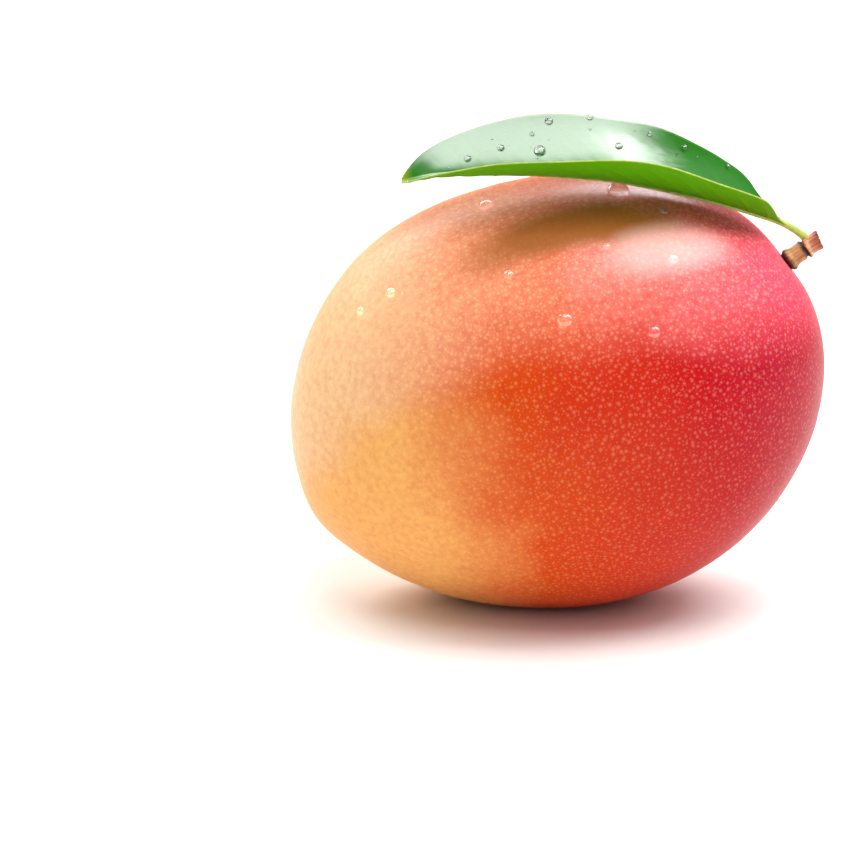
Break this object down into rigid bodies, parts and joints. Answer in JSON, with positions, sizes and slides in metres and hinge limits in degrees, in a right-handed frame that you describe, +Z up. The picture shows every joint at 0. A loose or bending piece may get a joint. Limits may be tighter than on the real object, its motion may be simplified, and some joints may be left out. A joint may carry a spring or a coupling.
{
  "type": "mango",
  "caption": "Whole ripe mango lying on its side, with its woody stem stub and a folded, arching leaf over its back.",
  "frame": {"origin": "middle of the small flat spot under the fruit, on the surface that it rests on", "axes": "+X towards the stem end, level with the surface; +Z up; +Y across the fruit, away from the leaf's near half"},
  "size_m": [0.1173, 0.0882, 0.1093],
  "materials": {
    "skin": "waxy fruit skin, red blush over orange, with pale dots",
    "bark": "dry brown stem bark",
    "leaf": "leathery green leaf, glossy above and matte below"
  },
  "bodies": {
    "root": {"fruit": "skin", "stem": "bark", "leaf": "leaf"}
  },
  "joints": []
}
